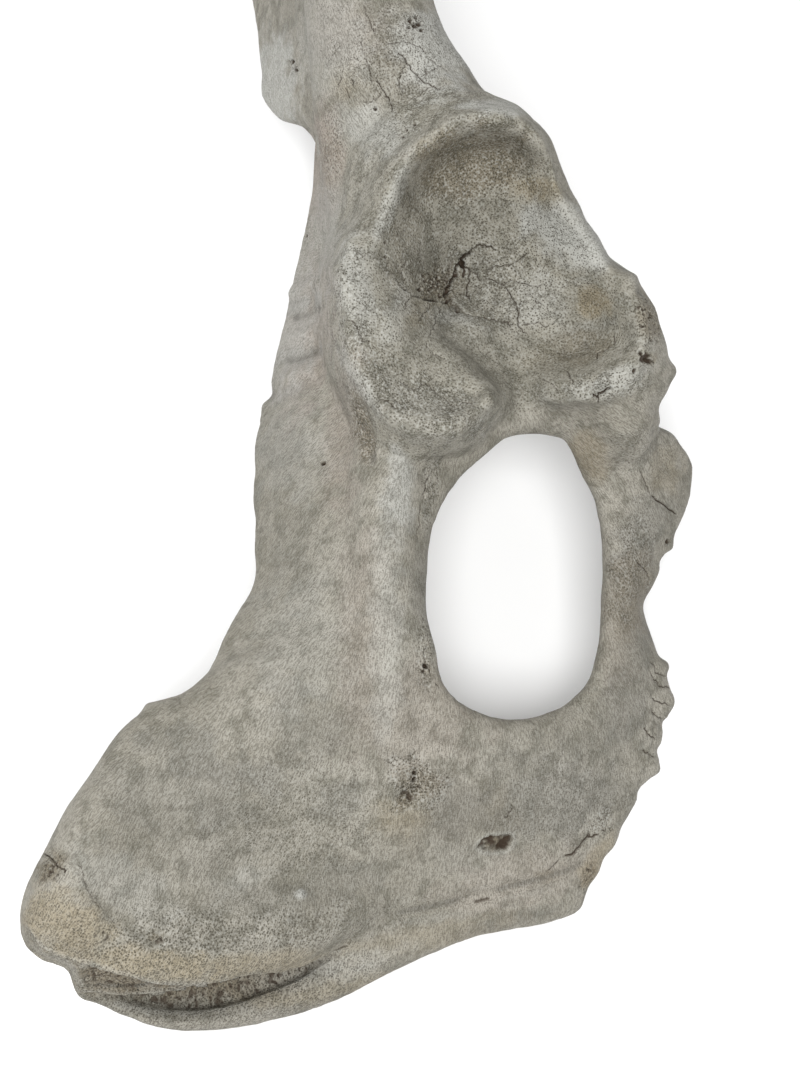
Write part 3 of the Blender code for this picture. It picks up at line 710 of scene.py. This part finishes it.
# How far behind the bone's front, in millimetres, the marks and the stains fade out
MARKS_FADE = (-11, -7)
STAINS_FADE = (-13, -9)
# Where the wing's crest and the seat turn porous, in millimetres along the bone from its middle
CREST_END = (172, 196)
SEAT_END = (190, 208)
# A crack deeper than this runs unbroken
UNBROKEN = 0.8
# Finer faces go this far round cracks and pits and this far below the slot's edge, in the picture's points,
# where a point faces the viewer more than this and lies less than this many millimetres behind the front
CRACK_BAND = 3.5
CRACK_BOX = 8
PIT_BAND = 4
SLOT_BAND = (-5, 24)
FINE_FACING = 0.05
FINE_DEPTH = 8
# What counts as a full ridge or hollow beside its surroundings, and the rounds that smooth those
RELIEF_HEIGHT = 0.35
RELIEF_ROUNDS = 10


def patches(places, rows, ragged):
    """How strongly these patches show at each place; ragged noise breaks up their borders."""
    total = np.zeros(len(places))
    for (x, y), (across, down), turn, strength in rows:
        c, s = math.cos(math.radians(turn)), math.sin(math.radians(turn))
        dx, dy = places[:, 0] - x, places[:, 1] - y
        reach = np.sqrt(((c * dx + s * dy) / across) ** 2 + ((c * dy - s * dx) / down) ** 2)
        total = np.maximum(total, strength * smooth_step(1.25 + 0.4 * ragged - reach, 0, 0.75))
    return total


def wandering(line, amount, seed):
    """A crack's line, bent a little at short steps."""
    rng = np.random.default_rng(seed)
    smooth = curved(line, 5)
    smooth[1:-1] += rng.normal(0, amount, (len(smooth) - 2, 2))
    return smooth


CRACK_LINES = [(wandering(line, 0.9, k), width, depth) for k, (line, width, depth) in enumerate(CRACKS)]


def refine(mesh):
    """Gives the skin finer faces along the cracks, round the pits, in porous patches and in the slot."""
    view = to_view(points_of(mesh))
    places = in_picture(view)
    facing = facing_of(view, normals_of(mesh))
    behind = front_depth(view, places, facing)(places) - view[:, 2]
    seen = (facing > FINE_FACING) & (behind < FINE_DEPTH)
    fine = np.zeros(len(view), bool)
    for line, width, _ in CRACK_LINES:
        near = close_to(places, line, CRACK_BOX)
        near = near[seen[near]]
        fine[near[to_line(places[near], line)[0] < width + CRACK_BAND]] = True
    for (x, y), radius, _ in PITS:
        fine |= seen & (np.hypot(places[:, 0] - x, places[:, 1] - y) < radius + PIT_BAND)
    fine |= seen & (patches(places, POROUS, np.zeros(len(places))) > 0.1)
    distance, side, _ = to_line(places, curved(SLOT, 4))
    below = distance * side
    fine |= seen & (below > SLOT_BAND[0]) & (below < SLOT_BAND[1]) & (places[:, 0] < SLOT[-1][0] + 2)
    work = bmesh.new()
    work.from_mesh(mesh)
    work.verts.ensure_lookup_table()
    edges = [e for e in work.edges if fine[e.verts[0].index] and fine[e.verts[1].index]]
    bmesh.ops.subdivide_edges(work, edges=edges, cuts=2, use_grid_fill=True)
    bmesh.ops.triangulate(work, faces=work.faces[:])
    work.to_mesh(mesh)
    work.free()


class Marks:
    """The marks on the bone's front, point by point: their heights, the soil in them with the painted shade
    at the foot of ledges, and open pores.
    """

    def __init__(self, body, places):
        self.body = body
        self.at = places
        self.height = np.zeros(len(places))
        self.soil_and_shade = np.zeros(len(places))
        self.pores = np.zeros(len(places))
        self.ragged = 0.4 * noise(body, size=1.1, seed=31) + 0.35 * noise(body, size=2.2, seed=32)

    def add_soil_and_shade(self, k, share):
        """Puts soil there where there is less; at a ledge's foot the same darkening is painted shade."""
        self.soil_and_shade[k] = np.maximum(self.soil_and_shade[k], share)

    def fold(self, line, half, rise):
        line = curved(line, 4)
        k = close_to(self.at, line, 2.5 * half)
        distance, _, along = to_line(self.at[k], line)
        fade = smooth_step(along, -0.05, 0.2) * smooth_step(1 - along, -0.05, 0.2)
        self.height[k] += rise * np.exp(-(distance / half) ** 2) * fade

    def ledge(self, line, rise, up_reach, down_reach, lumps):
        """A ledge whose edge wobbles, with a little painted shade at its foot."""
        line = curved(line, 4)
        k = close_to(self.at, line, 4 * max(up_reach, down_reach))
        distance, side, along = to_line(self.at[k], line)
        over = distance * side + 1.2 * lumps[k]
        step = np.where(over > 0, np.exp(-over / up_reach), -np.exp(over / down_reach))
        step *= np.tanh(np.abs(over) / 1.2)
        self.height[k] += 0.5 * rise * step * faded(along)
        # the dark band at the foot of the step is painted shade
        foot_shade = np.exp(-((over * np.sign(-rise) - 1.0) / 1.6) ** 2) * faded(along)
        self.add_soil_and_shade(k, min(0.4, 0.25 * abs(rise)) * foot_shade)

    def crack(self, line, width, depth, broken):
        """A crack with soil in it and slightly raised lips; a shallow one shows only in stretches."""
        k = close_to(self.at, line, 6 * width)
        distance, _, along = to_line(self.at[k], line)
        open_here = faded(along) * (1 if depth > UNBROKEN else broken[k])
        share = np.exp(-(distance / (0.36 * width)) ** 2) * open_here
        lip = np.exp(-((distance - 2.2 * width) / (1.2 * width)) ** 2) * open_here
        self.height[k] -= 0.8 * depth * share
        self.height[k] += 0.08 * depth * lip
        self.add_soil_and_shade(k, min(0.9, 0.35 + 0.5 * depth) * share)

    def pit(self, place, radius, depth):
        k = close_to(self.at, [place], 3 * radius)
        reach = np.hypot(*(self.at[k] - place).T) / radius + self.ragged[k]
        share = smooth_step(1.2 - reach, 0, 0.6)
        self.height[k] -= depth * share
        self.add_soil_and_shade(k, min(1.0, 0.35 + 0.35 * depth) * share)

    def porous_patches(self):
        pores = noise(self.body, size=1.0, seed=43) + 0.6 * noise(self.body, size=2.6, seed=44)
        porous = patches(self.at, POROUS, 1.5 * self.ragged)
        share = porous * smooth_step(pores, 0.1, 0.5)
        self.height -= 0.7 * share
        self.soil_and_shade = np.maximum(self.soil_and_shade, 0.6 * share)
        self.pores = 0.9 * porous

    def window(self):
        dx, dy = (self.at - WINDOW_MIDDLE).T
        reach = np.hypot(dx / WINDOW_HALF[0], (dy + WINDOW_TILT * dx) / WINDOW_HALF[1])
        reach += 0.2 * noise(self.body, size=1.4, seed=33) + 0.25 * noise(self.body, size=3.0, seed=34)
        share = smooth_step(1.1 - reach, 0, 0.25)
        spongy = layered(self.body, size=1.6, seed=35, layers=2)
        self.height += share * (-1.5 + 0.9 * spongy) + 0.15 * np.exp(-((reach - 1.25) / 0.2) ** 2)
        self.soil_and_shade = np.maximum(self.soil_and_shade, share * np.clip(0.6 - 1.3 * spongy, 0.05, 1.0))

    def torn_layers(self):
        torn = smooth_step(inside(self.at, TORN_REGION), -2, 8)
        bent = self.at[:, 1] + 0.35 * (self.at[:, 0] - 650)
        bent += 14 * noise(self.body, size=6, seed=37) + 5 * noise(self.body, size=2.5, seed=38)
        here = smooth_step(noise(self.body, size=4, seed=39), -0.4, 0.3)
        self.height += torn * 0.2 * np.sin(bent * 2 * math.pi / LAYER_WIDTH) * here

    def slot(self):
        line = curved(SLOT, 6)
        k = close_to(self.at, line, 45)
        distance, side, along = to_line(self.at[k], line)
        below = distance * side
        narrow = 1 - 0.75 * smooth_step(along, 0.5, 1.0)
        share = smooth_step(below, -1, 2) * (1 - smooth_step(below, SLOT_WIDTH * narrow, SLOT_END * narrow))
        share *= smooth_step(along, 0, 0.06) * smooth_step(1 - along, 0, 0.2)
        pores = noise(self.body[k], size=0.8, seed=45) + 0.5 * noise(self.body[k], size=2.4, seed=46)
        pores = smooth_step(pores, 0.0, 0.5)
        self.height[k] -= share * (2.0 + 0.3 * pores)
        self.add_soil_and_shade(k, share * (0.07 + 0.48 * pores))
        self.pores[k] = np.maximum(self.pores[k], share)

    def work(self):
        """Makes every mark."""
        lumps = noise(self.body, size=3.0, seed=21)
        broken = smooth_step(noise(self.body, size=2.6, seed=23), -0.75, -0.15)
        for row in FOLDS:
            self.fold(*row)
        for row in LEDGES:
            self.ledge(*row, lumps)
        for row in CRACK_LINES:
            self.crack(*row, broken)
        for row in PITS:
            self.pit(*row)
        self.porous_patches()
        self.window()
        self.torn_layers()
        self.slot()


def grain_run(places, normals):
    """The way the grain runs along the skin, out from the socket."""
    away = places - GRAIN_START
    run = unit(np.stack([away[:, 0], -away[:, 1], np.zeros(len(away))], axis=1)) @ VIEW_TURN.T
    run -= normals * np.sum(run * normals, axis=1)[:, None]
    return unit(run)


def bare_height(body, run, socket):
    """The skin's own unevenness: swellings, lumps, streaks along the grain, and roughness."""
    height = 0.35 * layered(body, size=22, seed=1, layers=2)
    height += 0.16 * layered(body, size=7, seed=4, layers=2)
    for k in range(-3, 4):
        height += 0.009 * noise(body + run * (k * 0.9), size=1.9, seed=7)
    rough = smooth_step(layered(body, size=16, seed=9, layers=2), -0.1, 0.6)
    height += (0.03 + 0.04 * rough + 0.05 * socket) * layered(body, size=1.7, seed=12, layers=2)
    return height


def knob_height(view):
    """Bumps and hollows that show on the outline, drawn out along the sight line."""
    height = np.zeros(len(view))
    for place, depth, radius, rise in KNOBS:
        middle = at_depth(np.array([place], float), np.array([float(depth)]))[0]
        flat = np.hypot(view[:, 0] - middle[0], view[:, 1] - middle[1])
        away = np.sqrt(flat ** 2 + (0.35 * (view[:, 2] - middle[2])) ** 2)
        height += rise * np.exp(-(away / radius) ** 2)
    return height


LAYER_FIELDS = {"FLOAT": "value", "FLOAT_COLOR": "color", "FLOAT_VECTOR": "vector"}


def write_layer(mesh, name, kind, values):
    """Keeps values on the skin's points, for the material."""
    layer = mesh.attributes.new(name, kind, "POINT")
    layer.data.foreach_set(LAYER_FIELDS[kind], values.astype(np.float32).ravel())


def weather(mesh):
    """Works the marks into the skin, and keeps its stains and the run of its grain for the material."""
    points = points_of(mesh)
    body = points * MM
    view = to_view(points)
    places = in_picture(view)
    normals = normals_of(mesh)
    facing = facing_of(view, normals)
    behind = front_depth(view, places, facing)(places) - view[:, 2]
    seen = smooth_step(facing, 0.0, 0.1) * smooth_step(-behind, *MARKS_FADE)
    front = smooth_step(-behind, *STAINS_FADE)
    socket = smooth_step(inside(places, SOCKET_REGION), -6, 8) * seen
    run = grain_run(places, normals)

    near = np.flatnonzero(seen > 0)
    marks = Marks(body[near], places[near])
    marks.work()
    height = bare_height(body, run, socket) + knob_height(view)
    height[near] += marks.height * seen[near]
    dirt_and_shade = np.zeros(len(body))
    dirt_and_shade[near] = marks.soil_and_shade * seen[near]
    open_pores = np.zeros(len(body))
    open_pores[near] = marks.pores * seen[near]
    # fine pits on the wing's crest and the seat's end, on every side
    ends = np.maximum(smooth_step(body[:, 1], *CREST_END), smooth_step(-body[:, 1], *SEAT_END))
    pores = ends * smooth_step(noise(body, size=1.3, seed=41), 0.3, 0.6)
    height -= 0.12 * pores
    dirt_and_shade = np.maximum(dirt_and_shade, 0.15 * pores)
    open_pores = np.maximum(open_pores, 0.8 * ends)
    set_points(mesh, (body + normals * height[:, None]) / MM)

    # how far each point stands over its surroundings, from -1 to 1; the material paints highlight on the
    # ridges and shade in the hollows from it
    level = smoothed(mesh, height, RELIEF_ROUNDS)
    relief = np.clip((height - level) / RELIEF_HEIGHT, -1, 1)
    ragged = layered(body, size=5, seed=51, layers=3)
    stains = np.stack([patches(places, rows, ragged) * front for rows in (BROWN, TAN, ROSE, GREY)], axis=1)
    stains[:, 1] = np.maximum(stains[:, 1], 0.6 * ends * (1 - front))
    pale_behind = np.clip(0.3 + 0.3 * layered(body, size=30, seed=61, layers=2), 0, 1)
    pale = patches(places, PALE, ragged) * front + pale_behind * (1 - front)
    seat_pores = 0.8 * patches(places, SEAT_TAN, ragged) * front
    write_layer(mesh, "stains", "FLOAT_COLOR", stains)
    write_layer(mesh, "dirt_and_shade", "FLOAT", np.clip(dirt_and_shade, 0, 1))
    write_layer(mesh, "relief", "FLOAT", 0.5 + 0.5 * relief)
    write_layer(mesh, "socket", "FLOAT", socket)
    write_layer(mesh, "run", "FLOAT_VECTOR", run)
    write_layer(mesh, "pale", "FLOAT", pale)
    write_layer(mesh, "specks", "FLOAT", patches(places, SPECKS, 1.4 * ragged) * front)
    write_layer(mesh, "pores", "FLOAT", np.maximum(open_pores, seat_pores))


refine(bone.data)
weather(bone.data)
bone.data.shade_smooth()


# The bone's material

class Graph:
    """Short calls for building a node graph."""

    def __init__(self, material):
        material.use_nodes = True
        self.tree = material.node_tree
        self.shader = self.tree.nodes["Principled BSDF"]

    def node(self, kind, inputs=(), **settings):
        made = self.tree.nodes.new("ShaderNode" + kind)
        for key, value in settings.items():
            setattr(made, key, value)
        for key, value in dict(inputs).items():
            self.feed(made.inputs[key], value)
        return made

    def feed(self, socket, value):
        if isinstance(value, bpy.types.NodeSocket):
            self.tree.links.new(value, socket)
        else:
            socket.default_value = value

    def math(self, operation, a, b=0.5, c=0.0, clamp=False):
        made = self.node("Math", operation=operation, use_clamp=clamp)
        for socket, value in zip(made.inputs, (a, b, c)):
            self.feed(socket, value)
        return made.outputs[0]

    def times(self, a, b):
        return self.math("MULTIPLY", a, b)

    def shifted(self, where, along, amount):
        """The place, moved along a vector."""
        made = self.node("VectorMath", operation="MULTIPLY_ADD")
        for socket, value in zip(made.inputs, (along, (amount,) * 3, where)):
            self.feed(socket, value)
        return made.outputs[0]

    def noise(self, where, scale, detail=2.0, rough=0.5, output="Fac"):
        inputs = {"Vector": where, "Scale": scale, "Detail": detail, "Roughness": rough}
        return self.node("TexNoise", inputs).outputs[output]

    def cells(self, where, scale, feature="F1"):
        made = self.node("TexVoronoi", {"Vector": where, "Scale": scale}, feature=feature)
        return made.outputs["Distance"]

    def ranged(self, value, low, high, to_low=0.0, to_high=1.0):
        inputs = {"Value": value, "From Min": low, "From Max": high, "To Min": to_low, "To Max": to_high}
        return self.node("MapRange", inputs, interpolation_type="SMOOTHSTEP").outputs[0]

    def mix(self, share, a, b):
        made = self.node("Mix", data_type="RGBA")
        self.feed(made.inputs[0], share)
        self.feed(made.inputs[6], a)
        self.feed(made.inputs[7], b)
        return made.outputs[2]

    def layer(self, name, output="Fac"):
        return self.node("Attribute", attribute_name=name).outputs[output]


# The bone's colours
LIGHT_BONE = (0.218, 0.204, 0.167, 1)
PALE_BONE = (0.280, 0.264, 0.223, 1)
DULL_BONE = (0.152, 0.143, 0.113, 1)
ROSE_BONE = (0.278, 0.230, 0.196, 1)
GREY_BONE = (0.118, 0.116, 0.104, 1)
TAN_BONE = (0.269, 0.225, 0.148, 1)
BROWN_BONE = (0.141, 0.113, 0.071, 1)
MOSSY_BONE = (0.190, 0.192, 0.153, 1)
# bleached bone, also used for the painted highlight on ridges
BLEACHED_AND_HIGHLIGHT_BONE = (0.385, 0.387, 0.362, 1)
# the dark of the grain lines, also used for the painted shade in hollows
DARK_GRAIN_AND_SHADE_BONE = (0.085, 0.078, 0.064, 1)
SOIL = (0.062, 0.055, 0.040, 1)
# dark soil, also used for the painted shade at the foot of ledges
DARK_SOIL_AND_SHADE = (0.038, 0.025, 0.015, 1)
# How many lumps or cells of each texture fit in a metre, and lengths in metres
GRAIN_SCALE = 3600.0
GRAIN_STEP = 0.00027
SPECKLE_SCALE = 2300.0
DOT_SCALE = 1900.0
CLOUD_SCALE = 45.0
SMALL_CLOUD_SCALE = 210.0
BEND_SCALE = 420.0
BEND = 0.0026
NET_SCALE = 260.0
FINE_NET_SCALE = 760.0
BUMP_DEPTH = 0.00022


def crack_net(g, where, clouds, specks):
    """A net of hair cracks, coarse and fine, open only in places."""
    bent = g.shifted(where, g.noise(where, BEND_SCALE, 1.0, output="Color"), BEND)
    coarse = g.cells(bent, NET_SCALE, "DISTANCE_TO_EDGE")
    fine = g.cells(bent, FINE_NET_SCALE, "DISTANCE_TO_EDGE")
    coarse = g.times(g.ranged(coarse, 0.0, 0.04, 1.0, 0.0), g.ranged(clouds, 0.43, 0.56))
    fine = g.times(g.ranged(fine, 0.0, 0.12, 1.0, 0.0), g.ranged(clouds, 0.38, 0.58))
    coarse = g.math("MULTIPLY", coarse, g.math("MULTIPLY_ADD", specks, 0.6, 0.3), clamp=True)
    fine = g.math("MULTIPLY", fine, g.math("MULTIPLY_ADD", specks, 0.85, 0.04), clamp=True)
    return g.math("MAXIMUM", coarse, fine)


def bone_material():
    material = bpy.data.materials.new("weathered_bone")
    g = Graph(material)
    where = g.node("TexCoord").outputs["Object"]
    run = g.layer("run", "Vector")
    relief = g.layer("relief")
    socket = g.layer("socket")
    specks = g.math("MULTIPLY_ADD", socket, 0.6, g.layer("specks"), clamp=True)
    pale = g.layer("pale")
    stains = g.node("SeparateColor", {"Color": g.layer("stains", "Color")}).outputs
    grey = g.layer("stains", "Alpha")

    # fine grain, drawn out along the bone's run, and weak in the socket
    grain = g.noise(g.shifted(where, run, -GRAIN_STEP), GRAIN_SCALE, 0.0)
    for step in (0.0, GRAIN_STEP):
        grain = g.math("ADD", grain, g.noise(g.shifted(where, run, step), GRAIN_SCALE, 0.0))
    grain = g.ranged(grain, 1.2, 1.8)
    grained = g.math("MULTIPLY_ADD", socket, -0.85, 1.0)
    speckle = g.noise(where, SPECKLE_SCALE, 1.0, 0.7)
    clouds = g.noise(where, CLOUD_SCALE, 3.0, 0.6)
    small_clouds = g.noise(where, SMALL_CLOUD_SCALE, 2.0, 0.6)
    cells = g.cells(where, DOT_SCALE)

    color = g.mix(g.ranged(clouds, 0.35, 0.68), LIGHT_BONE, PALE_BONE)
    color = g.mix(g.ranged(small_clouds, 0.44, 0.66, 0.0, 0.85), color, DULL_BONE)
    for layer, strength, tone in (
            (stains["Blue"], 0.7, ROSE_BONE), (grey, 0.6, GREY_BONE), (stains["Green"], 0.85, TAN_BONE),
            (stains["Red"], 0.75, BROWN_BONE), (socket, 0.12, MOSSY_BONE), (pale, 0.7, BLEACHED_AND_HIGHLIGHT_BONE)):
        color = g.mix(g.times(layer, strength), color, tone)
    # painted highlight on the ridges, painted shade in the hollows
    color = g.mix(g.ranged(relief, 0.55, 1.0, 0.0, 0.25), color, BLEACHED_AND_HIGHLIGHT_BONE)
    color = g.mix(g.ranged(relief, 0.5, 0.05, 0.0, 0.65), color, DARK_GRAIN_AND_SHADE_BONE)
    color = g.mix(g.times(g.ranged(grain, 0.45, 0.0, 0.0, 0.5), grained), color, DARK_GRAIN_AND_SHADE_BONE)
    color = g.mix(g.times(g.ranged(grain, 0.6, 1.0, 0.0, 0.18), grained), color, BLEACHED_AND_HIGHLIGHT_BONE)
    # light grains between the cells, dark dots and open pores in them
    color = g.mix(g.times(g.ranged(cells, 0.55, 0.8), g.times(specks, 0.5)), color, BLEACHED_AND_HIGHLIGHT_BONE)
    thick = g.math("MULTIPLY_ADD", specks, 0.8, 0.38, clamp=True)
    dots = g.times(g.ranged(cells, 0.46, 0.2), g.times(g.ranged(speckle, 0.62, 0.45), thick))
    color = g.mix(dots, color, SOIL)
    open_pores = g.times(g.ranged(cells, 0.5, 0.22), g.layer("pores"))
    color = g.mix(g.times(open_pores, 0.7), color, SOIL)
    color = g.mix(g.times(crack_net(g, where, small_clouds, specks), 0.8), color, SOIL)
    # soil in cracks, pits, pores and the slot, and painted shade at the foot of ledges
    color = g.mix(g.ranged(g.layer("dirt_and_shade"), 0.04, 0.75, 0.0, 0.97), color, DARK_SOIL_AND_SHADE)

    height = g.math("MULTIPLY_ADD", g.times(grain, grained), 0.35, speckle)
    height = g.math("SUBTRACT", height, dots)
    height = g.math("SUBTRACT", height, open_pores)
    bump = g.node("Bump", {"Height": height, "Strength": 0.7, "Distance": BUMP_DEPTH})
    g.feed(g.shader.inputs["Base Color"], color)
    g.feed(g.shader.inputs["Roughness"], g.ranged(speckle, 0.3, 0.7, 0.82, 0.64))
    g.feed(g.shader.inputs["Normal"], bump.outputs["Normal"])
    g.shader.inputs["Specular IOR Level"].default_value = 0.25
    return material


bone.data.materials.clear()
bone.data.materials.append(bone_material())
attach(bone, "root")
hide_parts("hip_bone")

# Floor, light and camera

FLOOR_REACH = 3.0
FLOOR_COLOR = (0.9, 0.9, 0.9, 1)
FLOOR_ROUGHNESS = 0.9
STUDIO_COLOR = (1, 1, 1, 1)
STUDIO_STRENGTH = 0.62
# Soft lights: name, place, size, power
LIGHTS = [("key", (-0.62, 0.12, 0.95), 0.5, 5.0), ("fill", (-0.06, -0.74, 1.07), 0.45, 14.0)]
SENSOR_HEIGHT = 36.0
NEAREST = 0.02
FARTHEST = 20.0

corners = [(FLOOR_REACH * x, FLOOR_REACH * y, 0) for x, y in ((-1, -1), (1, -1), (1, 1), (-1, 1))]
floor = mesh_object("floor", corners, [(0, 1, 2, 3)])
pale = bpy.data.materials.new("pale_floor")
pale.use_nodes = True
pale.node_tree.nodes["Principled BSDF"].inputs["Base Color"].default_value = FLOOR_COLOR
pale.node_tree.nodes["Principled BSDF"].inputs["Roughness"].default_value = FLOOR_ROUGHNESS
floor.data.materials.append(pale)

world = bpy.data.worlds.new("studio")
world.use_nodes = True
world.node_tree.nodes["Background"].inputs["Color"].default_value = STUDIO_COLOR
world.node_tree.nodes["Background"].inputs["Strength"].default_value = STUDIO_STRENGTH
bpy.context.scene.world = world
bpy.context.scene.view_settings.view_transform = "Standard"

for name, place, size, power in LIGHTS:
    data = bpy.data.lights.new(name, "AREA")
    data.size = size
    data.energy = power
    lamp = bpy.data.objects.new(name, data)
    lamp.location = place
    lamp.rotation_euler = (-Vector(place)).to_track_quat("-Z", "Y").to_euler()
    bpy.context.scene.collection.objects.link(lamp)

camera = bpy.data.objects.new("camera", bpy.data.cameras.new("camera"))
bpy.context.scene.collection.objects.link(camera)
viewer = Vector(to_world(np.array([[0, 0, VIEW_DISTANCE]]))[0])
camera.matrix_world = Matrix.Translation(viewer) @ Matrix(VIEW_TURN.tolist()).to_4x4()
camera.data.sensor_fit = "VERTICAL"
camera.data.sensor_height = SENSOR_HEIGHT
camera.data.lens = SENSOR_HEIGHT * PICTURE_SCALE / PICTURE_HEIGHT
camera.data.clip_start = NEAREST
camera.data.clip_end = FARTHEST
bpy.context.scene.camera = camera
